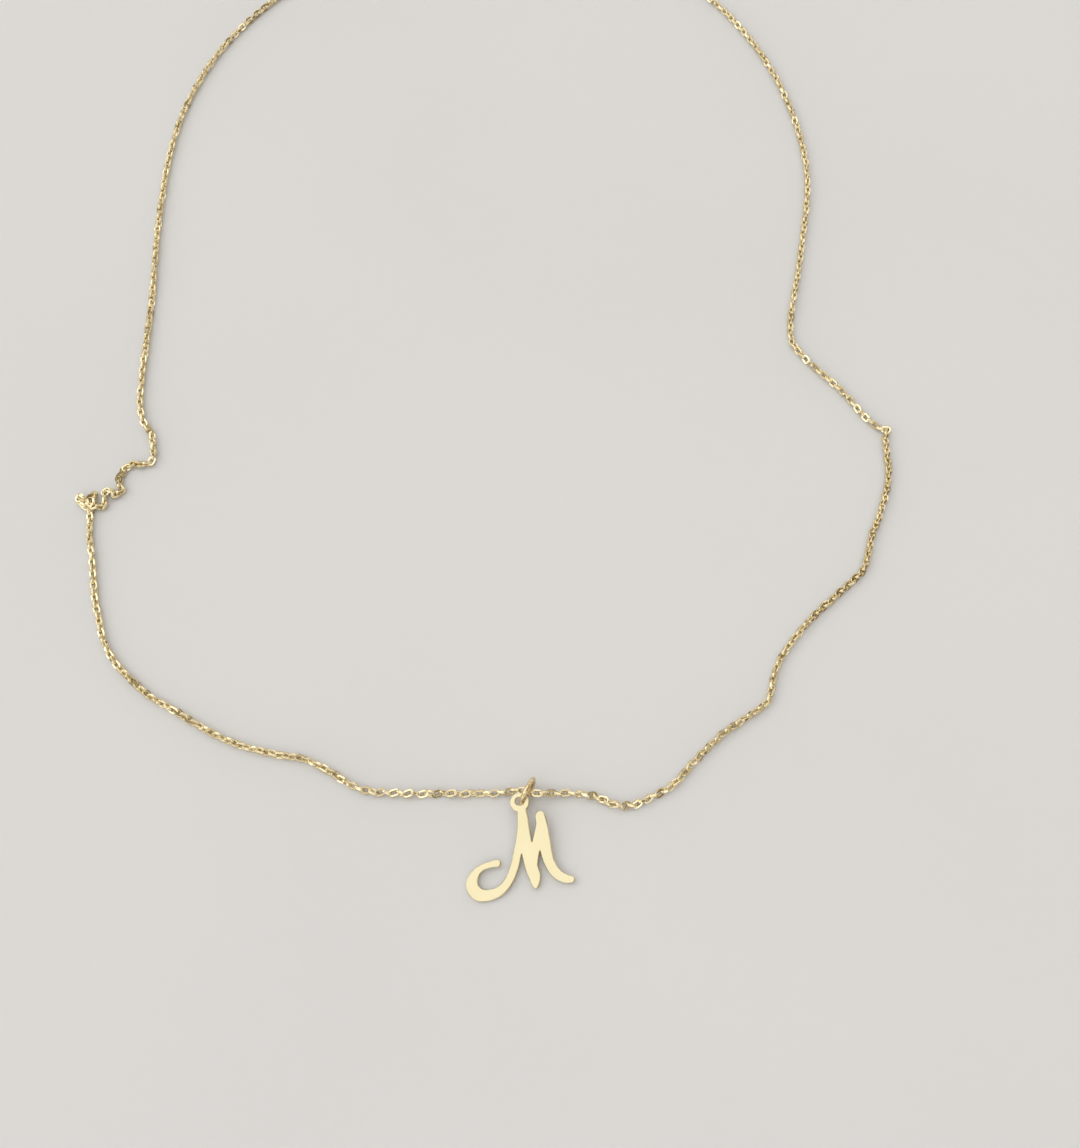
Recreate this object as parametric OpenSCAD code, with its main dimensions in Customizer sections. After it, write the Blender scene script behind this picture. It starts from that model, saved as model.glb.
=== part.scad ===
// Initial pendant on a fine cable chain, lying on a table.
// A flat script letter M hangs by a small loop from one jump ring, and the chain runs
// through that ring. A spring-ring clasp and an end ring close the chain at the back.
// Millimetres, +Z up. +X runs across the letter, +Y from its foot towards the clasp, and
// the origin is at the middle of the underside of the whole necklace.

/* [Letter] */
// Width of the letter over its strokes
letter_w = 12.8; // [9:0.1:18]
// Height of the letter from its foot to the top of its strokes
letter_h = 10.8; // [8:0.1:15]
// Width of a stroke where it is neither thick nor thin
stroke_w = 1.05; // [0.85:0.05:1.25]
// Thickness of the plate
plate_t = 0.4; // [0.3:0.05:0.55]
// Width of metal round the hole of the hanging loop
loop_rim = 0.5; // [0.4:0.05:0.65]

/* [Jump ring] */
// Wire of the jump ring
ring_wire = 0.5; // [0.4:0.05:0.65]
// Room left inside the jump ring by the chain and the rim of the letter's loop
ring_play = 1.1; // [1.1:0.05:1.6]
// Turn of the standing ring about Z, away from the letter's own direction
ring_yaw = 28; // [15:1:35]
// Lean of the standing ring away from the vertical
ring_lean = 3; // [-4:1:6]

/* [Chain] */
// Width of the chain over its links
chain_w = 1.0; // [0.8:0.05:1.15]
// Distance over which the chain comes down from the ring to the table
chain_rise = 5; // [4:0.5:10]

/* [Clasp] */
// Outside diameter of the clasp
clasp_od = 5.5; // [4.5:0.1:7]
// Thickness of the clasp's tube
clasp_wire = 1.2; // [0.9:0.05:1.4]
// Hole in the clasp's eyelet
eyelet_hole = 1.0; // [0.8:0.05:1.2]
// Wire of the eyelet
eyelet_wire = 0.5; // [0.4:0.05:0.6]
// Length of the thumb knob on the clasp
knob_l = 0.6; // [0.4:0.05:0.9]
// Wire of the end ring
end_wire = 0.5; // [0.4:0.05:0.6]
// Room left inside the end ring by the clasp's tube
end_play = 1.0; // [0.9:0.05:1.4]

/* [Fit] */
// Gap between pieces that rest on or hang in each other
gap = 0.06; // [0.05:0.01:0.1]

/* [Hidden] */
gold = [0.93, 0.82, 0.50];
round_fn = 96;
wire_fn = 32;

// Strokes of the letter, a row for each section along the stroke.
// Columns: x as a share of letter_w from the left, y as a share of letter_h from the
// foot, width as a multiple of stroke_w.
left_stroke = [
    [0.500, 1.010, 0.93],
    [0.505, 0.890, 0.95],
    [0.504, 0.790, 0.96],
    [0.497, 0.690, 0.97],
    [0.482, 0.590, 0.98],
    [0.464, 0.490, 0.96],
    [0.450, 0.405, 0.97],
    [0.429, 0.325, 0.98],
    [0.401, 0.243, 0.98],
    [0.363, 0.173, 1.00],
    [0.305, 0.111, 1.07],
    [0.236, 0.076, 1.17],
    [0.175, 0.065, 1.27],
    [0.113, 0.079, 1.44],
    [0.065, 0.140, 1.43],
    [0.057, 0.217, 1.29],
    [0.079, 0.282, 1.03],
    [0.112, 0.332, 0.84],
    [0.160, 0.372, 0.69],
    [0.214, 0.393, 0.69],
    [0.254, 0.405, 0.77],
    [0.284, 0.409, 0.82]
];
left_diagonal = [
    [0.508, 1.000, 0.93],
    [0.526, 0.905, 0.96],
    [0.536, 0.790, 1.02],
    [0.552, 0.655, 1.11],
    [0.561, 0.520, 1.28],
    [0.581, 0.430, 1.38],
    [0.604, 0.350, 1.47],
    [0.627, 0.268, 1.36],
    [0.633, 0.200, 0.95],
    [0.636, 0.172, 0.66]
];
right_diagonal = [
    [0.684, 0.875, 0.95],
    [0.672, 0.800, 0.96],
    [0.660, 0.722, 0.99],
    [0.648, 0.652, 1.04],
    [0.634, 0.567, 1.06],
    [0.621, 0.490, 1.08],
    [0.615, 0.420, 1.06]
];
right_stroke = [
    [0.677, 0.924, 1.12],
    [0.686, 0.868, 1.21],
    [0.700, 0.800, 1.21],
    [0.713, 0.722, 1.18],
    [0.724, 0.640, 1.21],
    [0.729, 0.565, 1.31],
    [0.742, 0.496, 1.29],
    [0.762, 0.421, 1.22],
    [0.802, 0.337, 1.19],
    [0.858, 0.274, 1.09],
    [0.923, 0.243, 0.91],
    [0.963, 0.241, 0.76]
];
STROKES = [left_stroke, left_diagonal, right_diagonal, right_stroke];
stroke_steps = 4;
cap_step = 18;

// The hanging loop stands on the top of the left stroke, sunk a little into it, and its
// hole lies a little above the middle of its outside circle
loop_x_share = 0.4856;
loop_sink = 0.29;
hole_offset = 0.12;

// The jump ring, in its own plane: along runs level, up leans with the ring
ring_inside = chain_w + loop_rim + ring_play;
ring_r_in = ring_inside / 2;
ring_r = ring_r_in + ring_wire / 2;
ring_r_out = ring_r_in + ring_wire;
ring_along = [sin(ring_yaw), cos(ring_yaw), 0];
ring_side = [cos(ring_yaw), -sin(ring_yaw), 0];
ring_up = cos(ring_lean) * [0, 0, 1] + sin(ring_lean) * ring_side;
ring_z = ring_r * cos(ring_lean) + ring_wire / 2;

// The underside of the plate is this share of the inside radius below the middle. The
// hole spans the wire where it comes through the plate, with room on both sides.
seat_share = 0.45;
hole_play = 0.255;
plate_low = -seat_share * ring_r_in;
plate_high = plate_low + plate_t;
wire_near = sqrt(pow(ring_r_in, 2) - pow(plate_low, 2));
wire_far = sqrt(pow(ring_r_out, 2) - pow(plate_high, 2));
hole_d = wire_far - wire_near + 2 * hole_play;
loop_d = hole_d + 2 * loop_rim;
hole_y = letter_h + loop_d / 2 - loop_sink + hole_offset;

// The chain sits in the ring beside the rim of the loop, this far round from the bottom
chain_r = chain_w / 2;
chain_sides = 8;
chain_z = chain_r * cos(180 / chain_sides);
hang_angle = 8;
hang_gap = 1.5 * gap;
hang_r = ring_r_in - chain_r - hang_gap;
hang_in_ring = hang_r * (sin(hang_angle) * ring_along - cos(hang_angle) * ring_up);
hang_z = ring_z + hang_in_ring[2];

// Route of the chain on the table, from the end ring round to the clasp. x, y in
// millimetres, with the letter's ring near zero. hang is where the chain is in the ring.
hang = [0.03, -0.45];
clasp_at = [-6.0, 139.0];
chain_route = [
    [-15.0, 138.1], [-24.0, 135.3], [-32.5, 130.5], [-40.0, 124.0],
    [-46.0, 116.0], [-50.0, 107.0], [-52.2, 97.0], [-52.8, 84.0],
    [-52.4, 70.0], [-52.4, 58.0], [-52.2, 53.4], [-51.5, 50.6],
    [-50.3, 48.6], [-49.7, 46.5], [-49.8, 45.0], [-50.8, 44.2],
    [-52.3, 44.2], [-53.2, 43.4], [-53.6, 42.0], [-53.7, 40.8],
    [-54.5, 39.8], [-55.1, 38.7], [-56.1, 38.4], [-56.6, 39.4],
    [-57.4, 39.9], [-58.1, 39.3], [-58.1, 38.2], [-57.3, 37.1],
    [-56.6, 35.1], [-55.8, 30.1], [-54.9, 25.2], [-54.0, 22.1],
    [-52.9, 18.8], [-51.0, 15.9], [-48.9, 13.8], [-46.5, 11.8],
    [-43.7, 10.2], [-39.6, 7.7], [-36.9, 6.3], [-33.8, 5.2],
    [-30.5, 4.4], [-27.1, 3.8], [-23.8, 2.2], [-20.6, 0.3],
    [-17.0, -0.4], [-8.5, -0.4], [-4.4, -0.3], [-1.7, -0.05],
    hang, [1.8, -0.5], [4.9, -0.4], [8.2, -0.9],
    [10.4, -1.8], [12.1, -1.9], [13.7, -1.4], [16.5, 0.0],
    [18.0, 1.1], [20.7, 4.2], [24.5, 7.6], [29.1, 10.8],
    [30.0, 12.9], [31.3, 16.7], [35.2, 21.8], [39.5, 25.8],
    [42.6, 28.8], [43.6, 31.8], [45.3, 35.6], [47.4, 43.6],
    [47.6, 48.2], [46.6, 49.7], [45.3, 51.8], [41.9, 55.5],
    [37.5, 60.5], [35.8, 65.0], [38.2, 78.0], [40.0, 91.0],
    [38.6, 103.0], [34.5, 114.5], [28.0, 124.5], [19.0, 132.5],
    [8.5, 137.5]
];

// The clasp lies on the table by its eyelet side and hangs in the end ring by the other,
// where its tube sits low in the ring on the side that the chain pulls it to
clasp_r = (clasp_od - clasp_wire) / 2;
end_inside = clasp_wire + end_play;
end_r = (end_inside + end_wire) / 2;
end_r_out = end_inside / 2 + end_wire;
grip_angle = 40;
grip_r = (end_inside - clasp_wire) / 2 - gap;
grip_x = grip_r * cos(grip_angle);
grip_z = end_r_out - grip_r * sin(grip_angle);
clasp_tilt = asin((grip_z - clasp_wire / 2) / (2 * clasp_r));
eyelet_r = (eyelet_hole + eyelet_wire) / 2;
eyelet_sink = eyelet_wire / 4;
eyelet_x = clasp_od / 2 + eyelet_r - eyelet_sink;
clasp_low = max(clasp_r * sin(clasp_tilt) + clasp_wire / 2,
    (eyelet_x + eyelet_r) * sin(clasp_tilt) + eyelet_wire / 2);
limb_x = clasp_at[0] - clasp_r * cos(clasp_tilt);
end_x = limb_x - grip_x;
left_end = [end_x - end_r_out - gap, clasp_at[1]];
right_end = [clasp_at[0] + (eyelet_x + eyelet_r) * cos(clasp_tilt) + eyelet_wire / 2 + gap,
    clasp_at[1]];
knob_share = 0.75;
knob_d = knob_share * clasp_wire;
knob_angle = 125;

// The letter hangs by its hole on the ring, pushed to one side of the wire, and rests on
// the table by its foot
hole_side = 0.28;
hole_in_ring = -(wire_near + wire_far) / 2 * ring_along
    + (plate_low + plate_high) / 2 * ring_up - hole_side * ring_side;
ring_at = hang - [hang_in_ring[0], hang_in_ring[1]];
hole_z = ring_z + hole_in_ring[2];
letter_tilt = asin(hole_z / norm([hole_y, plate_t / 2])) - atan2(plate_t / 2, hole_y);

// Middle of the whole necklace, which goes to the origin
foot_y = ring_at[1] + hole_in_ring[1] - hole_y * cos(letter_tilt);
route_x = [for (p = chain_route) p[0]];
base = [(min(route_x) + max(route_x)) / 2, (foot_y + clasp_at[1] + clasp_od / 2) / 2];

// Smooth curve through rows of any width, steps points to each span
function between(a, b, c, d, t) = 0.5 * (2 * b + (c - a) * t
    + (2 * a - 5 * b + 4 * c - d) * t * t + (3 * b - a - 3 * c + d) * t * t * t);
function smooth(rows, steps) = let (last = len(rows) - 1) [
    for (i = [0 : last - 1], s = [0 : steps - 1])
        between(rows[max(i - 1, 0)], rows[i], rows[i + 1], rows[min(i + 2, last)], s / steps),
    rows[last]
];
function direction(rows, i) = let (
    d = rows[min(i + 1, len(rows) - 1)] - rows[max(i - 1, 0)]
) d / norm(d);

// Sections of a stroke in millimetres, and its two edges
function sections(rows) = [for (r = rows) [r[0] * letter_w, r[1] * letter_h, r[2] * stroke_w]];
function edge(rows, side) = let (mids = [for (r = rows) [r[0], r[1]]]) [
    for (i = [0 : len(rows) - 1])
        let (d = direction(mids, i)) mids[i] + side * rows[i][2] / 2 * [-d[1], d[0]]
];
function reversed(list) = [for (i = [len(list) - 1 : -1 : 0]) list[i]];

// Outline of one stroke, with a round cap at each end
function turned(v, a) = [cos(a) * v[0] - sin(a) * v[1], sin(a) * v[0] + cos(a) * v[1]];
function cap(end, d, from) = [for (a = [cap_step : cap_step : 180 - cap_step])
    [end[0], end[1]] + end[2] / 2 * turned(d, from - a)];
function outline(rows) = let (
    line = smooth(sections(rows), stroke_steps),
    mids = [for (r = line) [r[0], r[1]]],
    last = len(line) - 1
) concat(edge(line, 1), cap(line[last], direction(mids, last), 90),
    reversed(edge(line, -1)), cap(line[0], direction(mids, 0), -90));

// The letter's plate, with the centre of its hole at the origin
module plate() {
    translate([-loop_x_share * letter_w, -hole_y, -plate_t / 2])
        for (rows = STROKES) linear_extrude(plate_t) polygon(outline(rows));
    translate([0, -hole_offset, 0]) cylinder(h = plate_t, d = loop_d, center = true, $fn = round_fn);
}

module letter() {
    color(gold)
    placed()
    translate([ring_at[0] + hole_in_ring[0], ring_at[1] + hole_in_ring[1], hole_z])
    rotate([letter_tilt, 0, 0])
    difference() {
        plate();
        cylinder(h = 3 * plate_t, d = hole_d, center = true, $fn = round_fn);
    }
}

module wire_ring(r, wire) {
    rotate_extrude($fn = round_fn) translate([r, 0]) circle(d = wire, $fn = wire_fn);
}

module jump_ring() {
    color(gold)
    placed()
    translate([ring_at[0], ring_at[1], ring_z])
    rotate([0, 0, 90 - ring_yaw])
    rotate([90 + ring_lean, 0, 0])
    wire_ring(ring_r, ring_wire);
}

// Height of the chain at a point of its route
function fall(d) = d < chain_rise ? (1 + cos(180 * d / chain_rise)) / 2 : 0;
function on_route(p) = [p[0], p[1], chain_z + (hang_z - chain_z) * fall(norm(p - hang))];

// Tube round a path, one ring of corners to each of its points
function ring_of(path, i) = let (
    d = direction(path, i),
    s = cross(d, [0, 0, 1]),
    side = s / norm(s),
    up = cross(side, d)
) [for (k = [0 : chain_sides - 1]) let (a = 360 * (k + 0.5) / chain_sides)
    path[i] + chain_r * (cos(a) * side + sin(a) * up)];

module tube(path) {
    n = chain_sides;
    rings = len(path);
    points = [for (i = [0 : rings - 1]) each ring_of(path, i)];
    walls = [for (i = [0 : rings - 2], k = [0 : n - 1])
        let (a = i * n + k, b = i * n + (k + 1) % n) each [[a, b, b + n], [a, b + n, a + n]]];
    first = [for (k = [n - 1 : -1 : 0]) k];
    last = [for (k = [0 : n - 1]) (rings - 1) * n + k];
    polyhedron(points = points, faces = concat(walls, [first, last]), convexity = 10);
}

module chain() {
    path = [for (p = concat([left_end], chain_route, [right_end])) on_route(p)];
    color(gold) placed() tube(path);
}

module end_ring() {
    color(gold)
    placed()
    translate([end_x, clasp_at[1], end_r_out])
    rotate([90, 0, 0])
    wire_ring(end_r, end_wire);
}

module clasp() {
    color(gold)
    placed()
    translate([clasp_at[0], clasp_at[1], clasp_low])
    rotate([0, clasp_tilt, 0]) {
        wire_ring(clasp_r, clasp_wire);
        translate([eyelet_x, 0, 0]) wire_ring(eyelet_r, eyelet_wire);
        rotate([0, 0, knob_angle]) translate([clasp_r, 0, 0]) rotate([0, 90, 0])
            cylinder(h = clasp_wire / 2 + knob_l, d = knob_d, $fn = wire_fn);
    }
}

// Moves the whole necklace so that the middle of its underside is at the origin
module placed() {
    translate([-base[0], -base[1], 0]) children();
}

letter();
jump_ring();
chain();
end_ring();
clasp();
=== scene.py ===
import math

import bpy
import numpy as np
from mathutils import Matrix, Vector
from mathutils.geometry import tessellate_polygon


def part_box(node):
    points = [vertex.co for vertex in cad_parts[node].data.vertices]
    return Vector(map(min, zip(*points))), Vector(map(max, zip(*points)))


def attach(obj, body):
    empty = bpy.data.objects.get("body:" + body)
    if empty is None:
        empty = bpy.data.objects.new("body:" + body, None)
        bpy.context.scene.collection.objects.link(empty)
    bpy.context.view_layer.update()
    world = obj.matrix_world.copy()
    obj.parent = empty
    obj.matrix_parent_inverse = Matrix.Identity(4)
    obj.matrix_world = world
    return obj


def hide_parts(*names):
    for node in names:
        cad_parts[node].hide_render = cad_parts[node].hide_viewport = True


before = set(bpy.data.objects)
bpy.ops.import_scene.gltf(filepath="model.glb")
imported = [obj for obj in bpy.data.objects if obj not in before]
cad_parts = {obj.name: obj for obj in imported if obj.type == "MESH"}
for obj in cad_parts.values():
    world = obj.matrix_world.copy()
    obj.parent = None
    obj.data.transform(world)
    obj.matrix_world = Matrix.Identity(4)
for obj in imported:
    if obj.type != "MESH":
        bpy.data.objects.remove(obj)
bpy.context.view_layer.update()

MM = 0.001

# The necklace lies on a table, built in millimetres with +Z up. Each of its five pieces
# stands in for one node of the part.

# Sizes, the same as in the part's source
LETTER_W = 12.8
LETTER_H = 10.8
STROKE_W = 1.05
PLATE_T = 0.4
LOOP_RIM = 0.5
RING_WIRE = 0.5
RING_PLAY = 1.1
RING_YAW = math.radians(28)
RING_LEAN = math.radians(3)
CHAIN_W = 1.0
CHAIN_RISE = 5.0
CLASP_OD = 5.5
CLASP_WIRE = 1.2
EYELET_HOLE = 1.0
EYELET_WIRE = 0.5
KNOB_L = 0.6
END_WIRE = 0.5
END_PLAY = 1.0
GAP = 0.06

# Strokes of the letter: x share of the width, y share of the height, width multiple
LEFT_STROKE = [
    (0.500, 1.010, 0.93), (0.505, 0.890, 0.95), (0.504, 0.790, 0.96), (0.497, 0.690, 0.97),
    (0.482, 0.590, 0.98), (0.464, 0.490, 0.96), (0.450, 0.405, 0.97), (0.429, 0.325, 0.98),
    (0.401, 0.243, 0.98), (0.363, 0.173, 1.00), (0.305, 0.111, 1.07), (0.236, 0.076, 1.17),
    (0.175, 0.065, 1.27), (0.113, 0.079, 1.44), (0.065, 0.140, 1.43), (0.057, 0.217, 1.29),
    (0.079, 0.282, 1.03), (0.112, 0.332, 0.84), (0.160, 0.372, 0.69), (0.214, 0.393, 0.69),
    (0.254, 0.405, 0.77), (0.284, 0.409, 0.82),
]
LEFT_DIAGONAL = [
    (0.508, 1.000, 0.93), (0.526, 0.905, 0.96), (0.536, 0.790, 1.02), (0.552, 0.655, 1.11),
    (0.561, 0.520, 1.28), (0.581, 0.430, 1.38), (0.604, 0.350, 1.47), (0.627, 0.268, 1.36),
    (0.633, 0.200, 0.95), (0.636, 0.172, 0.66),
]
RIGHT_DIAGONAL = [
    (0.684, 0.875, 0.95), (0.672, 0.800, 0.96), (0.660, 0.722, 0.99), (0.648, 0.652, 1.04),
    (0.634, 0.567, 1.06), (0.621, 0.490, 1.08), (0.615, 0.420, 1.06),
]
RIGHT_STROKE = [
    (0.677, 0.924, 1.12), (0.686, 0.868, 1.21), (0.700, 0.800, 1.21), (0.713, 0.722, 1.18),
    (0.724, 0.640, 1.21), (0.729, 0.565, 1.31), (0.742, 0.496, 1.29), (0.762, 0.421, 1.22),
    (0.802, 0.337, 1.19), (0.858, 0.274, 1.09), (0.923, 0.243, 0.91), (0.963, 0.241, 0.76),
]
STROKES = [LEFT_STROKE, LEFT_DIAGONAL, RIGHT_DIAGONAL, RIGHT_STROKE]
LOOP_X_SHARE = 0.4856
LOOP_SINK = 0.29
HOLE_OFFSET = 0.12

# Where the ring and the letter are, worked out as in the source. HANG is where the
# source's chain goes through the ring.
ALONG = Vector((math.sin(RING_YAW), math.cos(RING_YAW), 0))
SIDE = Vector((math.cos(RING_YAW), -math.sin(RING_YAW), 0))
UP = math.cos(RING_LEAN) * Vector((0, 0, 1)) + math.sin(RING_LEAN) * SIDE
RING_R_IN = (CHAIN_W + LOOP_RIM + RING_PLAY) / 2
RING_R = RING_R_IN + RING_WIRE / 2
RING_Z = RING_R * math.cos(RING_LEAN) + RING_WIRE / 2
SEAT_SHARE = 0.45
HOLE_PLAY = 0.255
PLATE_LOW = -SEAT_SHARE * RING_R_IN
PLATE_HIGH = PLATE_LOW + PLATE_T
WIRE_NEAR = math.sqrt(RING_R_IN ** 2 - PLATE_LOW ** 2)
WIRE_FAR = math.sqrt((RING_R_IN + RING_WIRE) ** 2 - PLATE_HIGH ** 2)
HOLE_D = WIRE_FAR - WIRE_NEAR + 2 * HOLE_PLAY
LOOP_D = HOLE_D + 2 * LOOP_RIM
HOLE_Y = LETTER_H + LOOP_D / 2 - LOOP_SINK + HOLE_OFFSET
HANG = (0.03, -0.45)
HANG_ANGLE = math.radians(8)
HANG_GAP = 1.5 * GAP
HANG_R = RING_R_IN - CHAIN_W / 2 - HANG_GAP
HANG_IN_RING = HANG_R * (math.sin(HANG_ANGLE) * ALONG - math.cos(HANG_ANGLE) * UP)
RING_AT = Vector((HANG[0] - HANG_IN_RING.x, HANG[1] - HANG_IN_RING.y, RING_Z))
HOLE_SIDE = 0.28
PLATE_IN_RING = (PLATE_LOW + PLATE_HIGH) / 2
HOLE_IN_RING = -(WIRE_NEAR + WIRE_FAR) / 2 * ALONG + PLATE_IN_RING * UP - HOLE_SIDE * SIDE
HOLE_AT = RING_AT + HOLE_IN_RING
LETTER_TILT = (
    math.asin(HOLE_AT.z / math.hypot(HOLE_Y, PLATE_T / 2)) - math.atan2(PLATE_T / 2, HOLE_Y)
)

# Where the end ring and the clasp are. The clasp hangs in the end ring as in the source,
# and its eyelet lies on the chain's last link, this far above the table.
EYELET_LIFT = 0.24
CLASP_AT = Vector((-6.0, 139.0, 0))
CLASP_R = (CLASP_OD - CLASP_WIRE) / 2
END_INSIDE = CLASP_WIRE + END_PLAY
END_R = (END_INSIDE + END_WIRE) / 2
END_R_OUT = END_INSIDE / 2 + END_WIRE
GRIP_ANGLE = math.radians(40)
GRIP_R = (END_INSIDE - CLASP_WIRE) / 2 - GAP
GRIP_Z = END_R_OUT - GRIP_R * math.sin(GRIP_ANGLE)
EYELET_R = (EYELET_HOLE + EYELET_WIRE) / 2
EYELET_SINK = EYELET_WIRE / 4
EYELET_X = CLASP_OD / 2 + EYELET_R - EYELET_SINK
EYELET_Z = EYELET_WIRE / 2 + EYELET_LIFT
CLASP_TILT = math.asin((GRIP_Z - EYELET_Z) / (CLASP_R + EYELET_X + EYELET_R))
CLASP_LOW = GRIP_Z - CLASP_R * math.sin(CLASP_TILT)
END_X = CLASP_AT.x - CLASP_R * math.cos(CLASP_TILT) - GRIP_R * math.cos(GRIP_ANGLE)
END_RING_AT = Vector((END_X, CLASP_AT.y, END_R_OUT))

# Route of the links: x, y with the letter's ring near zero. It is the source's route, but
# folded more tightly in the pile on the left and at the corners, and fitted to the ring,
# which the links go through at LINKS_HANG.
LINKS_HANG = (0.25, -0.45)
ROUTE = [
    (-15.0, 138.1), (-24.0, 135.3), (-32.5, 130.5), (-40.0, 124.0),
    (-46.0, 116.0), (-50.0, 107.0), (-52.2, 97.0), (-52.8, 84.0),
    (-52.4, 70.0), (-52.4, 58.0), (-52.2, 53.4), (-51.5, 50.6),
    (-50.2, 48.6), (-49.7, 46.3), (-49.6, 44.7), (-50.6, 44.0),
    (-52.2, 44.1), (-53.2, 43.4), (-53.8, 41.7), (-53.1, 40.1),
    (-54.2, 39.5), (-54.9, 40.4), (-55.5, 39.5), (-55.1, 38.1),
    (-55.9, 37.8), (-56.6, 37.5), (-56.5, 38.9), (-57.0, 39.7),
    (-57.4, 38.6), (-57.4, 37.6), (-58.1, 38.5), (-58.3, 39.5),
    (-58.7, 38.9), (-58.1, 38.1), (-57.3, 37.8), (-56.9, 36.9),
    (-56.7, 35.2), (-56.6, 33.6), (-56.1, 31.5), (-55.8, 30.1),
    (-54.9, 25.2), (-54.0, 22.1), (-52.9, 18.8), (-51.0, 15.9),
    (-48.9, 13.8), (-46.5, 11.8), (-43.7, 10.2), (-39.6, 7.7),
    (-36.9, 6.3), (-33.8, 5.2), (-30.5, 4.4), (-27.1, 3.8),
    (-23.8, 2.2), (-20.6, 0.3), (-17.0, -0.4), (-12.0, -0.45),
    (-8.5, -0.5), (-4.4, -0.45), (-2.4, -0.3), (-1.2, -0.22),
    LINKS_HANG, (1.13, -0.7), (2.0, -0.55), (4.9, -0.4),
    (5.9, -0.5), (8.2, -0.9), (10.4, -1.8), (12.1, -1.9),
    (13.7, -1.4), (16.5, 0.0), (18.0, 1.1), (20.7, 4.2),
    (24.5, 7.6), (29.1, 10.8), (30.0, 12.9), (31.3, 16.7),
    (35.2, 21.8), (39.5, 25.8), (42.6, 28.8), (43.5, 31.2),
    (44.2, 33.7), (45.1, 35.7), (46.1, 38.5), (46.8, 40.6),
    (47.2, 42.6), (47.3, 44.4), (47.25, 46.6), (47.3, 48.3),
    (47.8, 49.3), (46.9, 49.4), (45.1, 51.0), (41.9, 55.5),
    (37.5, 60.5), (35.8, 65.0), (38.2, 78.0), (40.0, 91.0),
    (38.6, 103.0), (34.5, 114.5), (28.0, 124.5), (19.0, 132.5),
    (8.5, 137.5),
]

# From the route's coordinates to the row frame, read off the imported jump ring
RING_LOW, RING_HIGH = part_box("jump_ring")
SHIFT = Vector((
    (RING_LOW[0] + RING_HIGH[0]) / 2 / MM - RING_AT.x,
    (RING_LOW[1] + RING_HIGH[1]) / 2 / MM - RING_AT.y,
    0,
))

# The camera, at the photograph's angle: its place, its turn from straight down, and its
# focal length and the photograph's height in pixels
CAMERA_AT = Vector((1.44, -49.45, 175.0))
CAMERA_TURN = math.radians(24)
FOCAL_LENGTH = 1500
PHOTO_HEIGHT = 1148
SENSOR = 36
camera_data = bpy.data.cameras.new("camera")
camera_data.sensor_width = SENSOR
camera_data.sensor_fit = "AUTO"
camera_data.lens = SENSOR * FOCAL_LENGTH / PHOTO_HEIGHT
camera_data.clip_start = 0.005
camera_data.clip_end = 20
camera = bpy.data.objects.new("camera", camera_data)
bpy.context.collection.objects.link(camera)
camera.location = (CAMERA_AT + SHIFT) * MM
camera.rotation_euler = (CAMERA_TURN, 0, 0)
bpy.context.scene.camera = camera


# Small tools
def mesh_object(name, points, faces, flat_faces=()):
    """A mesh object from points in millimetres, smooth but for its flat faces."""
    mesh = bpy.data.meshes.new(name)
    mesh.from_pydata([tuple(v * MM for v in p) for p in points], [], faces)
    mesh.validate()
    smooth = np.ones(len(mesh.polygons), dtype=bool)
    smooth[list(flat_faces)] = False
    mesh.polygons.foreach_set("use_smooth", smooth)
    mesh.update()
    obj = bpy.data.objects.new(name, mesh)
    bpy.context.collection.objects.link(obj)
    return obj


def catmull(rows, steps):
    """Smooth curve through rows of any width."""
    rows = np.array(rows, dtype=float)
    last = len(rows) - 1
    out = []
    for i in range(last):
        a, b, c, d = rows[max(i - 1, 0)], rows[i], rows[i + 1], rows[min(i + 2, last)]
        for s in range(steps):
            t = s / steps
            out.append(0.5 * (2 * b + (c - a) * t + (2 * a - 5 * b + 4 * c - d) * t * t
                              + (3 * b - a - 3 * c + d) * t ** 3))
    out.append(rows[last])
    return np.array(out)


def distances(line):
    """Distance along a line of points at each of them."""
    return np.concatenate([[0], np.cumsum(np.hypot(*np.diff(line, axis=0).T))])


def points_at(stops, s, line):
    """Points at the stops along a line, whose own points are at the distances s."""
    return np.column_stack([np.interp(stops, s, line[:, k]) for k in (0, 1)])


# The letter. Its outline is where a signed distance on a grid is zero: the grid's step, its
# room round the letter, how far from a stroke the distance is worked out, steps from one
# row of a stroke to the next, the even step along the outline, and how many points a loop
# has at least
GRID = 0.03
MARGIN = 0.6
REACH = 0.5
STROKE_STEPS = 12
OUTLINE_STEP = 0.05
FEWEST_POINTS = 20
# The rim of the loop looks a little wider than the solid's, which keeps its play
RIM_OUT = 0.08
RIM_IN = 0.07
# Radius of the edge, and on the side that the polishing wheel met, to the right. Where the
# edge faces neither right nor left, it is rounder by EDGE_SHARE of the difference.
EDGE_R = 0.04
EDGE_R_RIGHT = 0.17
EDGE_SHARE = 0.15
EDGE_STEPS = 6


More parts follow.
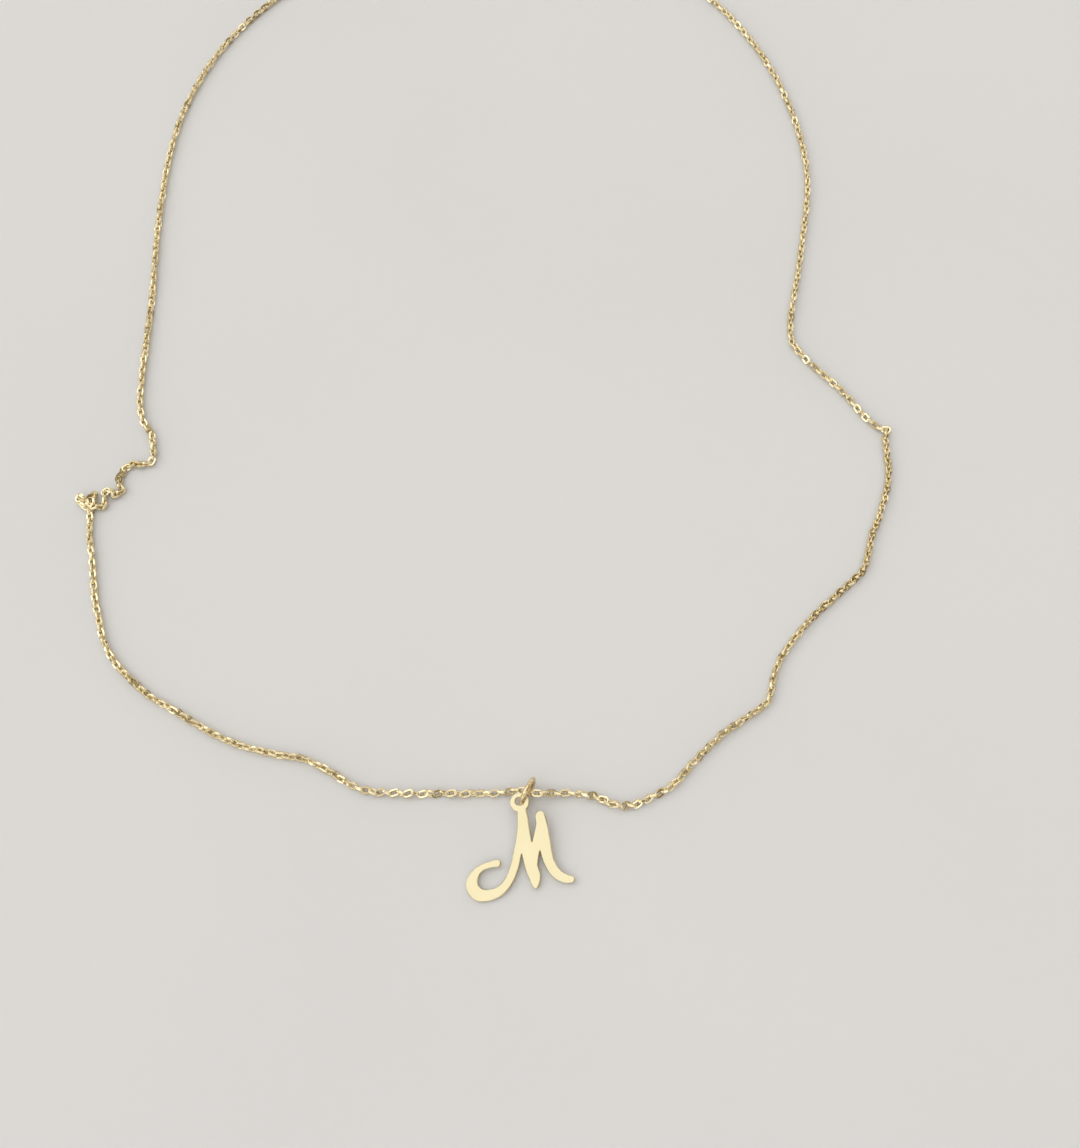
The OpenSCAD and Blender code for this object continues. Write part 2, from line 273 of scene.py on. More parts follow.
def stroke_field():
    """Signed distance to the outline of the plate with its hole, and the grid's corner."""
    x_min, x_max = -LOOP_X_SHARE * LETTER_W - MARGIN, (1 - LOOP_X_SHARE) * LETTER_W + MARGIN
    y_min, y_max = -HOLE_Y - MARGIN, LOOP_D / 2 + MARGIN
    nx = int((x_max - x_min) / GRID) + 1
    ny = int((y_max - y_min) / GRID) + 1
    gx = x_min + GRID * np.arange(nx)
    gy = y_min + GRID * np.arange(ny)
    field = np.full((nx, ny), 2 * REACH)

    def window(lo, hi):
        i0 = max(int((lo[0] - x_min) / GRID), 0)
        i1 = min(int((hi[0] - x_min) / GRID) + 2, nx)
        j0 = max(int((lo[1] - y_min) / GRID), 0)
        j1 = min(int((hi[1] - y_min) / GRID) + 2, ny)
        return slice(i0, i1), slice(j0, j1)

    for rows in STROKES:
        table = np.array(rows) * (LETTER_W, LETTER_H, STROKE_W / 2)
        table -= (LOOP_X_SHARE * LETTER_W, HOLE_Y, 0)
        line = catmull(table, STROKE_STEPS)
        for a, b in zip(line[:-1], line[1:]):
            r = max(a[2], b[2]) + REACH
            si, sj = window(np.minimum(a[:2], b[:2]) - r, np.maximum(a[:2], b[:2]) + r)
            px, py = np.meshgrid(gx[si], gy[sj], indexing="ij")
            d = b[:2] - a[:2]
            t = ((px - a[0]) * d[0] + (py - a[1]) * d[1]) / (d @ d)
            t = np.clip(t, 0, 1)
            dist = np.hypot(px - a[0] - t * d[0], py - a[1] - t * d[1])
            dist -= a[2] + t * (b[2] - a[2])
            field[si, sj] = np.minimum(field[si, sj], dist)
    px, py = np.meshgrid(gx, gy, indexing="ij")
    field = np.minimum(field, np.hypot(px, py + HOLE_OFFSET) - LOOP_D / 2 - RIM_OUT)
    field = np.maximum(field, HOLE_D / 2 - RIM_IN - np.hypot(px, py))
    return field, x_min, y_min


def contours(field, x_min, y_min):
    """Closed loops where the field is zero, by marching squares."""
    inside = field < 0
    joined = {}
    point = {}

    def crossing(i0, j0, i1, j1):
        key = (i0, j0, i1, j1)
        if key not in point:
            f0, f1 = field[i0, j0], field[i1, j1]
            t = f0 / (f0 - f1)
            point[key] = (
                x_min + GRID * (i0 + t * (i1 - i0)),
                y_min + GRID * (j0 + t * (j1 - j0)),
            )
        return key

    corners_in = (inside[:-1, :-1].astype(int) + inside[1:, :-1] + inside[:-1, 1:]
                  + inside[1:, 1:])
    for i, j in np.argwhere((corners_in > 0) & (corners_in < 4)):
        ends = []
        for a, b in (((i, j), (i + 1, j)), ((i + 1, j), (i + 1, j + 1)),
                     ((i, j + 1), (i + 1, j + 1)), ((i, j), (i, j + 1))):
            if inside[a] != inside[b]:
                ends.append(crossing(*a, *b))
        for k in range(0, len(ends), 2):
            joined.setdefault(ends[k], []).append(ends[k + 1])
            joined.setdefault(ends[k + 1], []).append(ends[k])
    loops = []
    left = set(joined)
    while left:
        loop, here, before = [], min(left), None
        while here in left:
            left.discard(here)
            loop.append(point[here])
            following = [k for k in joined[here] if k != before and k in left]
            before = here
            if not following:
                break
            here = following[0]
        if len(loop) > FEWEST_POINTS:
            loops.append(np.array(loop))
    return loops


def respaced(loop):
    """The closed loop with even spacing, counter-clockwise."""
    closed = np.vstack([loop, loop[:1]])
    s = distances(closed)
    n = int(s[-1] / OUTLINE_STEP)
    out = points_at(np.linspace(0, s[-1], n, endpoint=False), s, closed)
    area = np.sum(out[:, 0] * np.roll(out[:, 1], -1) - np.roll(out[:, 0], -1) * out[:, 1])
    return out if area > 0 else out[::-1]


def letter_loops():
    """The outline of the plate and then its holes, which run the other way round."""
    loops = [respaced(loop) for loop in contours(*stroke_field())]
    loops.sort(key=len, reverse=True)
    return loops[:1] + [hole[::-1] for hole in loops[1:]]


def edge_profile():
    """The edge from back to face: inset and drop in radii, and -1 at the back, 1 in front."""
    profile = []
    for k in range(EDGE_STEPS + 1):
        a = math.pi / 2 * k / EDGE_STEPS
        profile.append((1 - math.sin(a), 1 - math.cos(a), -1))
    return profile + [(inset, drop, 1) for inset, drop, side in reversed(profile)]


def letter():
    """The plate, with its back and face filled in between the loops, tilted and placed."""
    profile = edge_profile()
    points, faces, flat = [], [], []
    caps = {-1: [], 1: []}
    for loop in letter_loops():
        ahead = np.roll(loop, -1, axis=0) - np.roll(loop, 1, axis=0)
        ahead /= np.hypot(*ahead.T)[:, None]
        outward = np.column_stack([ahead[:, 1], -ahead[:, 0]])
        to_right = np.clip(EDGE_SHARE + (1 - EDGE_SHARE) * outward[:, 0], 0, 1)
        edge_r = EDGE_R + (EDGE_R_RIGHT - EDGE_R) * to_right
        n = len(loop)
        first = len(points)
        for inset, drop, side in profile:
            ring = loop - (inset * edge_r)[:, None] * outward
            heights = side * (PLATE_T / 2 - drop * edge_r)
            points += [(x, y, h) for (x, y), h in zip(ring, heights)]
        for level in range(len(profile) - 1):
            a = first + level * n
            for k in range(n):
                m = (k + 1) % n
                faces.append((a + k, a + m, a + n + m, a + n + k))
        top = first + (len(profile) - 1) * n
        caps[-1].append(range(first, first + n))
        caps[1].append(range(top, top + n))
    for side, rims in caps.items():
        index = [i for rim in rims for i in rim]
        polygons = [[Vector((points[i][0], points[i][1], 0)) for i in rim] for rim in rims]
        for tri in tessellate_polygon(polygons):
            a, b, c = (points[index[i]] for i in tri)
            ccw = (b[0] - a[0]) * (c[1] - a[1]) - (b[1] - a[1]) * (c[0] - a[0]) > 0
            tri = [index[i] for i in tri]
            if ccw != (side == 1):
                tri.reverse()
            flat.append(len(faces))
            faces.append(tuple(tri))
    tilt_c, tilt_s = math.cos(LETTER_TILT), math.sin(LETTER_TILT)
    at = HOLE_AT + SHIFT
    placed = [(x + at.x, y * tilt_c - z * tilt_s + at.y, y * tilt_s + z * tilt_c + at.z)
              for x, y, z in points]
    return mesh_object("letter_plate", placed, faces, flat)


# The rings, each closed by a fine butt seam: half its width, the places across it in half
# widths with their depths, and how many half widths the even wire keeps away from it
SEAM_HALF = 0.012
SEAM = [(-2.5, 0), (-1, 0.004), (0, 0.045), (1, 0.004), (2.5, 0)]
SEAM_CLEAR = 3
JUMP_SEAM_AT = math.radians(62)
END_SEAM_AT = math.radians(100)
WIRE_TURNS = 96
# The jump ring's wire looks a little thicker than the solid's, which keeps its gap, and
# stands a little more upright, turned about its wire in the hole
RING_SEEN = 0.56
LEAN_SEEN = math.radians(-1)


def wire_loop(radius, sections, to_frame, sides=20):
    """Points and faces of a wire ring; sections are its angles with the wire's radius."""
    points, faces = [], []
    for a, r in sections:
        for k in range(sides):
            b = 2 * math.pi * k / sides
            q = Vector(((radius + r * math.cos(b)) * math.cos(a),
                        (radius + r * math.cos(b)) * math.sin(a), r * math.sin(b)))
            points.append(to_frame(q))
    n = len(sections)
    for i in range(n):
        for k in range(sides):
            a, b = i * sides + k, i * sides + (k + 1) % sides
            c, d = ((i + 1) % n) * sides + (k + 1) % sides, ((i + 1) % n) * sides + k
            faces.append((a, d, c, b))
    return points, faces


def seamed(radius, wire, seam_at):
    """Sections of a round wire ring with its seam at one angle."""
    half = SEAM_HALF / radius

    def away(a):
        return abs((a - seam_at + math.pi) % (2 * math.pi) - math.pi)

    sections = [(a, wire / 2) for a in np.linspace(0, 2 * math.pi, WIRE_TURNS, endpoint=False)
                if away(a) > SEAM_CLEAR * half]
    for place, depth in SEAM:
        sections.append(((seam_at + place * half) % (2 * math.pi), wire / 2 - depth))
    return sorted(sections)


def jump_ring():
    up = math.cos(LEAN_SEEN) * Vector((0, 0, 1)) + math.sin(LEAN_SEEN) * SIDE
    axis = ALONG.cross(up)
    centre = RING_AT + SHIFT + PLATE_IN_RING * (UP - up)

    def to_frame(q):
        return centre + q.x * ALONG + q.y * up + q.z * axis

    points, faces = wire_loop(RING_R, seamed(RING_R, RING_SEEN, JUMP_SEAM_AT), to_frame)
    return mesh_object("jump_ring_wire", points, faces)


def end_ring():
    centre = END_RING_AT + SHIFT

    def to_frame(q):
        return centre + Vector((q.x, -q.z, q.y))

    points, faces = wire_loop(END_R, seamed(END_R, END_WIRE, END_SEAM_AT), to_frame)
    return mesh_object("end_ring_wire", points, faces)


# The clasp: a tube with a thinner tongue across its gap, a thumb knob and an eyelet. Each
# end of the tube is rounded: the angle before it, and how much thinner the tube is there.
CLASP_SIDES = 28
TUBE_TURNS = 84
TUBE_CLEAR = 0.05
TUBE_END = [(0.03, 0.012), (0.012, 0.05), (0.006, 0.09)]
TONGUE_SHARE = 0.62
TONGUE_FROM = math.radians(62)
TONGUE_TO = math.radians(112)
TONGUE_TURNS = 22
EYELET_SIDES = 18
EYELET_TURNS = 56
# The knob's neck starts inside the tube, this far from the tube's middle. Its outline is
# the distance back from its end and the share of its radius.
KNOB_ANGLE = math.radians(125)
KNOB_SHARE = 0.75
KNOB_R = KNOB_SHARE * CLASP_WIRE / 2
KNOB_FROM = 0.40
KNOB_NECK = 0.62
KNOB_OUTLINE = [(0.34, KNOB_NECK), (0.33, 0.93), (0.30, 1.0), (0.09, 1.0), (0.03, 0.93),
                (0.008, 0.80), (0.0, 0.55), (0.0, 0.2)]


def lathe(outline, at, axis, side, sides=24):
    """Points and faces of a turned pin; outline holds distances along it and radii."""
    across = axis.cross(side)
    points, faces = [], []
    for distance, r in outline:
        for k in range(sides):
            b = 2 * math.pi * k / sides
            points.append(at + distance * axis + r * (math.cos(b) * side + math.sin(b) * across))
    for i in range(len(outline) - 1):
        for k in range(sides):
            a, b = i * sides + k, i * sides + (k + 1) % sides
            faces.append((a, b, b + sides, a + sides))
    faces.append(tuple(range(sides))[::-1])
    last = (len(outline) - 1) * sides
    faces.append(tuple(range(last, last + sides)))
    return points, faces


def clasp_sections():
    """The tube's angles and radii, with the tongue where its gap is."""
    tube = CLASP_WIRE / 2
    tube_from, tube_to = TONGUE_TO, TONGUE_FROM + 2 * math.pi
    sections = []
    for a in np.linspace(tube_from + TUBE_CLEAR, tube_to - TUBE_CLEAR, TUBE_TURNS):
        sections.append((a, tube))
    for before, thinner in TUBE_END:
        sections.append((tube_to - before, tube - thinner))
    for a in np.linspace(TONGUE_FROM, TONGUE_TO, TONGUE_TURNS):
        sections.append((a + 2 * math.pi, TONGUE_SHARE * CLASP_WIRE / 2))
    for before, thinner in reversed(TUBE_END):
        sections.append((tube_from + 2 * math.pi + before, tube - thinner))
    return sections


def clasp():
    tilt_c, tilt_s = math.cos(CLASP_TILT), math.sin(CLASP_TILT)
    centre = CLASP_AT + SHIFT + Vector((0, 0, CLASP_LOW))

    def to_frame(q):
        return centre + Vector((q.x * tilt_c + q.z * tilt_s, q.y, q.z * tilt_c - q.x * tilt_s))

    def eyelet_frame(q):
        return to_frame(q + Vector((EYELET_X, 0, 0)))

    points, faces = wire_loop(CLASP_R, clasp_sections(), to_frame, CLASP_SIDES)

    def add(more, more_faces):
        first = len(points)
        points.extend(more)
        faces.extend(tuple(first + i for i in f) for f in more_faces)

    eyelet = [(a, EYELET_WIRE / 2)
              for a in np.linspace(0, 2 * math.pi, EYELET_TURNS, endpoint=False)]
    add(*wire_loop(EYELET_R, eyelet, eyelet_frame, EYELET_SIDES))
    outward = Vector((math.cos(KNOB_ANGLE), math.sin(KNOB_ANGLE), 0))
    axis = to_frame(outward) - to_frame(Vector((0, 0, 0)))
    side = to_frame(Vector((0, 0, 1))) - to_frame(Vector((0, 0, 0)))
    reach = CLASP_WIRE / 2 + KNOB_L
    outline = [(KNOB_FROM, KNOB_NECK * KNOB_R)]
    outline += [(reach - back, share * KNOB_R) for back, share in KNOB_OUTLINE]
    add(*lathe(outline, to_frame(CLASP_R * outward), axis, side))
    return mesh_object("clasp_spring_ring", points, faces)


# The links: length and width, the wire's width in the link's plane and thickness through
# it, how far out the flats are cut on the two long sides, and where the eight corners of
# the wire's section are, as a share of its half width and half thickness
LINK_L = 1.40
LINK_W = 0.98
LINK_WIRE = 0.27
LINK_THICK = 0.36
LINK_CUT = 0.465
LINK_CORNER = 0.62
LINK_TURNS = 18
# The greatest distance from one link to the next, the height of the joints between them,
# and their height in the jump ring
TAUT = LINK_L - 2 * LINK_WIRE
CHAIN_Z = 0.455
CHAIN_Z_SCATTER = 0.03
HANG_Z = 1.05
# The random draws' seed, and the scatter of the pitch and of the joints aside, as shares
SEED = 7
PITCH_SCATTER = 0.012
ASIDE_SCATTER = 0.35
# Steps from one point of the route to the next, and how far to either side of a joint the
# route's direction there is read
ROUTE_STEPS = 24
LOOK_AHEAD = 0.05
# The hidden stretch starts this far from the ring. It is drawn in by less than a pitch, so
# that the last joint comes out right.
HIDDEN_FROM = 105.0
# The way from the end ring's middle to its link, the way from the eyelet's wire along its
# link, the room left in both links, and about how long their pitch is
END_LINK_WAY = math.radians(215)
EYELET_LINK_WAY = Vector((1, 0, -0.12)).normalized()
END_ROOM = 0.02
END_PITCH = 1

# By distance along the chain from the ring, to the left below zero: the pitch of the links,
# how far they are turned about the chain from alternately level and upright and the
# scatter of that, both in degrees, and how far the joints lie to alternate sides
LAY = np.array([
    (-205.0, 0.84, 35, 10, 0.03), (-111.0, 0.84, 25, 14, 0.05), (-104.0, 0.78, 20, 20, 0.06),
    (-98.0, 0.70, 45, 30, 0.12), (-79.0, 0.69, 45, 30, 0.12), (-77.0, 0.82, 27, 9, 0.04),
    (-63.0, 0.84, 27, 9, 0.04), (-52.0, 0.80, 45, 10, 0.04), (-45.0, 0.81, 57, 11, 0.04),
    (-26.0, 0.83, 57, 11, 0.04), (-21.0, 0.85, 40, 14, 0.07), (-17.0, 0.86, 26, 22, 0.14),
    (-8.5, 0.86, 18, 22, 0.14), (-2.0, 0.86, 6, 14, 0.06), (0.0, 0.86, 0, 6, 0.0),
    (4.9, 0.86, 0, 16, 0.05), (5.4, 0.78, 12, 20, 0.10), (8.0, 0.71, 22, 22, 0.12),
    (13.0, 0.70, 30, 22, 0.12), (18.0, 0.86, 53, 9, 0.09), (34.0, 0.84, 50, 9, 0.07),
    (46.0, 0.78, 45, 9, 0.06), (58.0, 0.70, 28, 8, 0.07), (76.0, 0.71, 28, 8, 0.07),
    (80.0, 0.82, 45, 10, 0.05), (90.0, 0.84, 40, 10, 0.04), (205.0, 0.84, 35, 10, 0.03),
])
PITCH, TURN, TURN_SCATTER, ASIDE = 1, 2, 3, 4


def lay(where, column):
    """A column of the table at a distance along the chain."""
    return np.interp(where, LAY[:, 0], LAY[:, column])


def link_shape():
    """Points and faces of one link, its length along x and its width along y, and which
    faces are flat: the cuts on its long sides, and the top and bottom sides of its wire."""
    bow = (LINK_W - LINK_WIRE) / 2
    half = (LINK_L - LINK_WIRE) / 2 - bow
    wide, tall = LINK_WIRE / 2, LINK_THICK / 2
    flat_u, flat_v = LINK_CORNER * wide, LINK_CORNER * tall
    section = [(wide, -flat_v), (wide, flat_v), (flat_u, tall), (-flat_u, tall),
               (-wide, flat_v), (-wide, -flat_v), (-flat_u, -tall), (flat_u, -tall)]
    sides = len(section)
    top, bottom = 2, 6
    centre = []
    steps = LINK_TURNS // 2
    for side, start in ((1, -math.pi / 2), (-1, math.pi / 2)):
        for k in range(steps):
            a = start + math.pi * k / (steps - 1)
            centre.append(((side * half + bow * math.cos(a), bow * math.sin(a)),
                           (math.cos(a), math.sin(a))))
    points = []
    for (x, y), (ox, oy) in centre:
        for u, v in section:
            points.append([x + ox * u, max(-LINK_CUT, min(LINK_CUT, y + oy * u)), v])
    n = len(centre)
    faces, flats = [], []
    for i in range(n):
        j = (i + 1) % n
        for k in range(sides):
            a, b = i * sides + k, i * sides + (k + 1) % sides
            c, d = j * sides + (k + 1) % sides, j * sides + k
            cut = all(abs(points[p][1]) >= LINK_CUT for p in (a, b, c, d))
            if cut or k in (top, bottom):
                flats.append(len(faces))
            faces.append((a, d, c, b))
    return np.array(points), np.array(faces), flats


def end_joints():
    """Where the last link at each end holds on: two joints for the end ring's link, two
    for the eyelet's link, outermost first, in the route's coordinates."""
    out = Vector((math.cos(END_LINK_WAY), 0, math.sin(END_LINK_WAY)))
    wire = END_RING_AT + END_R * out
    left = [wire - END_WIRE / 2 * out, wire + (TAUT - END_WIRE / 2 - END_ROOM) * out]
    reach = EYELET_X + EYELET_R
    height = CLASP_LOW - reach * math.sin(CLASP_TILT)
    wire = CLASP_AT + Vector((reach * math.cos(CLASP_TILT), 0, height))
    out = EYELET_LINK_WAY
    right = [wire - EYELET_WIRE / 2 * out, wire + (TAUT - EYELET_WIRE / 2 - END_ROOM) * out]
    return left, right


def walk(line, sign, rng):
    """Joints from the ring to one end of the chain: their points and distances."""
    s = distances(line)
    stops = [lay(0, PITCH) / 2]
    while stops[-1] < s[-1]:
        stops.append(stops[-1] + lay(sign * stops[-1], PITCH) * rng.normal(1, PITCH_SCATTER))
    stops = np.array(stops)
    hidden = stops > HIDDEN_FROM
    stretch = (s[-1] - HIDDEN_FROM) / (stops[-1] - HIDDEN_FROM)
    stops[hidden] = HIDDEN_FROM + (stops[hidden] - HIDDEN_FROM) * stretch
    ahead = points_at(stops + LOOK_AHEAD, s, line) - points_at(stops - LOOK_AHEAD, s, line)
    ahead /= np.hypot(*ahead.T)[:, None]
    aside = np.column_stack([-ahead[:, 1], ahead[:, 0]])
    side = np.where(np.arange(len(stops)) % 2, 1, -1)
    scatter = (side + rng.normal(0, ASIDE_SCATTER, len(stops))) * lay(sign * stops, ASIDE)
    scatter[-2:] = 0
    return points_at(stops, s, line) + aside * scatter[:, None], sign * stops


def chain_joints(rng):
    """Joints from the end ring to the eyelet, their distances from the jump ring, and the
    number of the link that goes through it."""
    left, right = end_joints()
    line = catmull([left[1].xy] + ROUTE + [right[1].xy], ROUTE_STEPS)
    at_ring = int(np.argmin(np.hypot(line[:, 0] - LINKS_HANG[0], line[:, 1] - LINKS_HANG[1])))
    left_points, left_s = walk(line[:at_ring + 1][::-1], -1, rng)
    right_points, right_s = walk(line[at_ring:], 1, rng)
    xy = np.vstack([left[0].xy, left_points[::-1], right_points, right[0].xy])
    s = np.concatenate([[left_s[-1] - END_PITCH], left_s[::-1], right_s,
                        [right_s[-1] + END_PITCH]])
    d = np.hypot(xy[:, 0] - LINKS_HANG[0], xy[:, 1] - LINKS_HANG[1])
    z = CHAIN_Z + rng.normal(0, CHAIN_Z_SCATTER, len(xy))
    near = d < CHAIN_RISE
    rise = (1 + np.cos(math.pi * d[near] / CHAIN_RISE)) / 2
    z[near] = CHAIN_Z + (HANG_Z - CHAIN_Z) * rise
    z[0], z[1], z[-2], z[-1] = left[0].z, left[1].z, right[1].z, right[0].z
    return np.column_stack([xy, z]), s, len(left_points)


def chain():
    """Every link from joint to joint, lifted where it would sink into the table. The two
    end links lie as the ring and the eyelet that they hold need it."""
    rng = np.random.default_rng(SEED)
    joints, s, middle = chain_joints(rng)
    last = len(joints) - 2
    shape, shape_faces, flats = link_shape()
    points, faces, flat_faces = [], [], []
    for i in range(last + 1):
        a, b = joints[i], joints[i + 1]
        along = (b - a) / np.linalg.norm(b - a)
        level = np.cross((0, 0, 1), along)
        level /= np.linalg.norm(level)
        up = np.cross(along, level)
        at = (s[i] + s[i + 1]) / 2
        upright = 90 * ((i - middle) % 2 == 0)
        turn = rng.normal(lay(at, TURN), lay(at, TURN_SCATTER))
        if i == 0:
            turn = upright
        if i == last:
            turn = 0
        roll = math.radians(turn + upright)
        w = math.cos(roll) * level + math.sin(roll) * up
        q = shape[:, :1] * along + shape[:, 1:2] * w + shape[:, 2:] * np.cross(along, w)
        q += (a + b) / 2
        q[:, 2] += max(0.0, -q[:, 2].min())
        flat_faces += [i * len(shape_faces) + f for f in flats]
        faces.append(shape_faces + i * len(shape))
        points.append(q + np.array(SHIFT))
    return mesh_object("chain_links", np.vstack(points), np.vstack(faces).tolist(), flat_faces)


# Materials. A noise's scale is in features per metre, and a bump's height in metres.
NOISE_LOW = 0.3
NOISE_HIGH = 0.7
TONE_SCALE = 350
GRAIN_SCALE = 9000
GRAIN_STRETCH = (1, 0.12, 1)
SWELL_SCALE = 700
TABLE_SCALE = 14
TABLE_LOW = (0.662, 0.680, 0.700)
TABLE_HIGH = (0.682, 0.700, 0.719)
TABLE_GRAIN_SCALE = 4000
TABLE_BUMP = 6e-6


def material(name):
    mat = bpy.data.materials.new(name)
    mat.use_nodes = True
    nodes, links = mat.node_tree.nodes, mat.node_tree.links
    coords = nodes.new("ShaderNodeTexCoord").outputs["Object"]
    return mat, nodes, links, nodes["Principled BSDF"], coords


def noise(nodes, links, coords, scale, detail, stretch=None):
    """A noise texture in the row frame."""
    if stretch:
        mapping = nodes.new("ShaderNodeMapping")
        mapping.inputs["Scale"].default_value = stretch
        links.new(coords, mapping.inputs["Vector"])
        coords = mapping.outputs["Vector"]
    tex = nodes.new("ShaderNodeTexNoise")
    tex.inputs["Scale"].default_value = scale
    tex.inputs["Detail"].default_value = detail
    links.new(coords, tex.inputs["Vector"])
    return tex.outputs["Fac"]


def spread(nodes, links, value, low, high):
    """Maps a noise value to a range."""
    node = nodes.new("ShaderNodeMapRange")
    node.inputs["From Min"].default_value = NOISE_LOW
    node.inputs["From Max"].default_value = NOISE_HIGH
    node.inputs["To Min"].default_value = low
    node.inputs["To Max"].default_value = high
    links.new(value, node.inputs["Value"])
    return node.outputs["Result"]


def tint(nodes, links, value, low, high):
    """A colour between two, by a noise value."""
    node = nodes.new("ShaderNodeMix")
    node.data_type = "RGBA"
    node.inputs["A"].default_value = (*low, 1)
    node.inputs["B"].default_value = (*high, 1)
    links.new(spread(nodes, links, value, 0, 1), node.inputs["Factor"])
    return node.outputs["Result"]


def bump(nodes, links, value, height, below=None):
    """Relief by a noise value, on top of another bump's if there is one."""
    node = nodes.new("ShaderNodeBump")
    node.inputs["Strength"].default_value = 1.0
    node.inputs["Distance"].default_value = height
    links.new(value, node.inputs["Height"])
    if below is not None:
        links.new(below, node.inputs["Normal"])
    return node.outputs["Normal"]


def gold(name, low, high, rough, wave, scratch):
    """Polished gold with a slight change of colour, soft waves and fine scratches."""
    mat, nodes, links, shader, coords = material(name)
    tone = noise(nodes, links, coords, TONE_SCALE, detail=3.0)
    links.new(tint(nodes, links, tone, low, high), shader.inputs["Base Color"])
    shader.inputs["Metallic"].default_value = 1.0
    grain = noise(nodes, links, coords, GRAIN_SCALE, detail=4.0, stretch=GRAIN_STRETCH)
    links.new(spread(nodes, links, grain, *rough), shader.inputs["Roughness"])
    swell = noise(nodes, links, coords, SWELL_SCALE, detail=1.0)
    waves = bump(nodes, links, swell, wave)
    links.new(bump(nodes, links, grain, scratch, waves), shader.inputs["Normal"])
    return mat


def table_material():
    mat, nodes, links, shader, coords = material("pale_table")
    broad = noise(nodes, links, coords, TABLE_SCALE, detail=2.0)
    links.new(tint(nodes, links, broad, TABLE_LOW, TABLE_HIGH), shader.inputs["Base Color"])
    shader.inputs["Roughness"].default_value = 0.6
    grain = noise(nodes, links, coords, TABLE_GRAIN_SCALE, detail=3.0)
    links.new(bump(nodes, links, grain, TABLE_BUMP), shader.inputs["Normal"])
    return mat


# Two tones, the range of roughness, and the heights of the waves and the scratches
GOLD_FACE = gold("gold_plate", (0.655, 0.583, 0.368), (0.673, 0.604, 0.395), (0.10, 0.15),
                 3e-6, 1e-7)
GOLD_WIRE = gold("gold_wire", (0.69, 0.565, 0.33), (0.75, 0.625, 0.385), (0.05, 0.13),
                 4e-6, 2e-7)
GOLD_CHAIN = gold("gold_chain", (0.74, 0.645, 0.41), (0.79, 0.695, 0.46), (0.08, 0.16),
                  6e-6, 1e-7)


# The pieces, each in the place of its node
def dress(obj, node, mat):
    obj.data.materials.append(mat)
    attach(obj, "root")
    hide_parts(node)


dress(letter(), "letter", GOLD_FACE)
dress(jump_ring(), "jump_ring", GOLD_WIRE)
dress(chain(), "chain", GOLD_CHAIN)
dress(end_ring(), "end_ring", GOLD_WIRE)
dress(clasp(), "clasp", GOLD_WIRE)

# The table
TABLE_HALF = 3000.0
TABLE_Z = -0.02
TABLE_CORNERS = [(-1, -1), (1, -1), (1, 1), (-1, 1)]
table = mesh_object(
    "table", [(x * TABLE_HALF, y * TABLE_HALF, TABLE_Z) for x, y in TABLE_CORNERS],
    [(0, 1, 2, 3)],
)
table.data.materials.append(table_material())

# The light comes from the room alone. Its ceiling and walls are patches of light and dark:
# a noise, a little darker to the right, and the tones that it stands for.
ROOM_SCALE = 4.6
ROOM_SLOPE = -0.04
ROOM_TONES = [(0.42, (0.20, 0.14, 0.08)), (0.47, (0.45, 0.36, 0.26)),
              (0.525, (1.25, 1.22, 1.17)), (0.60, (2.00, 1.98, 1.94))]
# By the height of a direction, from 0 to 1: rosier towards the horizon, as a factor, and
# plain and pale along it, as a share
ROSY = [(0.0, (1.0, 0.87, 0.80)), (0.30, (1, 0.95, 0.91)), (0.5, (1, 1, 1))]
HORIZON = [(0.0, (1, 1, 1)), (0.13, (1, 1, 1)), (0.24, (0, 0, 0))]
HORIZON_TONE = (1.24, 1.19, 1.13)
# Soft-edged circles in it: the way to the middle, the cosines where the edge starts and
# ends, and the tone. A dark wall on the right, a bright patch on the left, and a lamp
# overhead, a little behind.
DARK_WALL = ((0.84, -0.25, 0.48), 0.86, 0.93, (0.24, 0.165, 0.085))
BRIGHT_PATCH = ((-0.85, 0.07, 0.52), 0.955, 0.985, (2.5, 2.45, 2.3))
LAMP = ((0.0, 0.03, 1.0), 0.970, 0.982, (1.455, 1.435, 1.40))

world = bpy.data.worlds.new("world")
world.use_nodes = True
bpy.context.scene.world = world
w_nodes, w_links = world.node_tree.nodes, world.node_tree.links
direction = w_nodes.new("ShaderNodeTexCoord").outputs["Generated"]


def world_set(socket, value):
    """Sets a socket to a number or a colour, or links it to an output."""
    if isinstance(value, float):
        socket.default_value = value
    elif isinstance(value, tuple):
        socket.default_value = (*value, 1)
    else:
        w_links.new(value, socket)


def world_noise(scale):
    tex = w_nodes.new("ShaderNodeTexNoise")
    tex.inputs["Scale"].default_value = scale
    tex.inputs["Detail"].default_value = 1.0
    w_links.new(direction, tex.inputs["Vector"])
    return tex.outputs["Fac"]


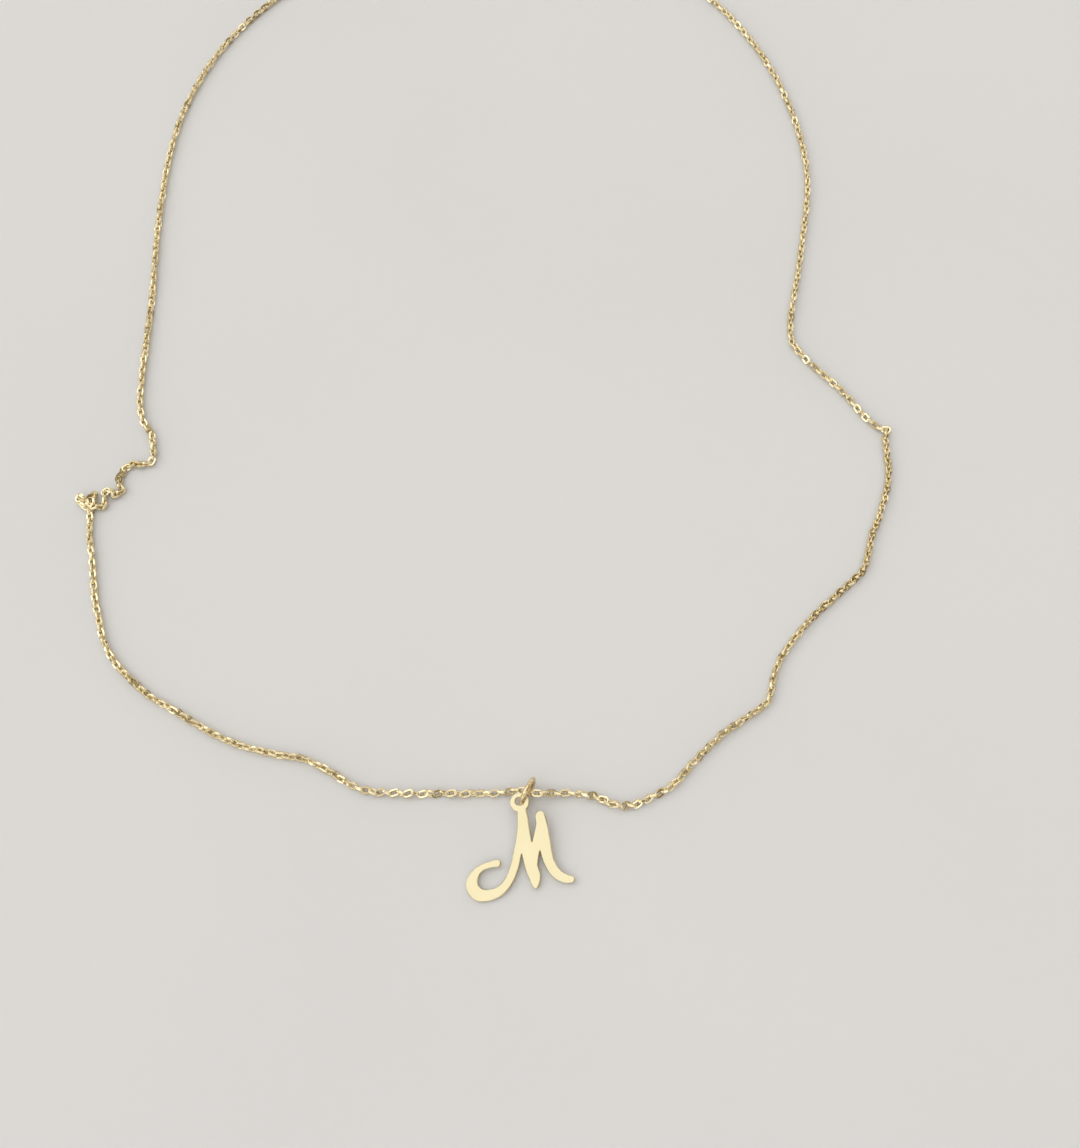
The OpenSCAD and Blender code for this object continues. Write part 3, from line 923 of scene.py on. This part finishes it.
def world_math(operation, a, b):
    node = w_nodes.new("ShaderNodeMath")
    node.operation = operation
    world_set(node.inputs[0], a)
    world_set(node.inputs[1], b)
    return node.outputs["Value"]


def world_ramp(value, stops):
    node = w_nodes.new("ShaderNodeValToRGB")
    elements = node.color_ramp.elements
    for k, (place, colour) in enumerate((stops[0], stops[-1])):
        elements[k].position = place
        elements[k].color = (*colour, 1)
    for place, colour in stops[1:-1]:
        elements.new(place).color = (*colour, 1)
    w_links.new(value, node.inputs["Fac"])
    return node.outputs["Color"]


def world_mix(factor, below, above, blend="MIX"):
    node = w_nodes.new("ShaderNodeMix")
    node.data_type = "RGBA"
    node.blend_type = blend
    world_set(node.inputs["Factor"], factor)
    world_set(node.inputs["A"], below)
    world_set(node.inputs["B"], above)
    return node.outputs["Result"]


def world_circle(below, way, low, high, tone):
    """What is below, with a soft-edged circle of one tone about a direction."""
    dot = w_nodes.new("ShaderNodeVectorMath")
    dot.operation = "DOT_PRODUCT"
    w_links.new(direction, dot.inputs[0])
    dot.inputs[1].default_value = way
    node = w_nodes.new("ShaderNodeMapRange")
    node.interpolation_type = "SMOOTHSTEP"
    node.inputs["From Min"].default_value = low
    node.inputs["From Max"].default_value = high
    w_links.new(dot.outputs["Value"], node.inputs["Value"])
    return world_mix(node.outputs["Result"], below, tone)


split = w_nodes.new("ShaderNodeSeparateXYZ")
w_links.new(direction, split.inputs["Vector"])
slope = world_math("MULTIPLY", split.outputs["X"], ROOM_SLOPE)
room = world_ramp(world_math("ADD", slope, world_noise(ROOM_SCALE)), ROOM_TONES)
room = world_circle(room, *DARK_WALL)
room = world_circle(room, *BRIGHT_PATCH)
room = world_mix(1.0, room, world_ramp(split.outputs["Z"], ROSY), "MULTIPLY")
room = world_mix(world_ramp(split.outputs["Z"], HORIZON), room, HORIZON_TONE)
room = world_circle(room, *LAMP)
w_links.new(room, w_nodes["Background"].inputs["Color"])
w_nodes["Background"].inputs["Strength"].default_value = 1.0

bpy.context.scene.view_settings.view_transform = "Standard"
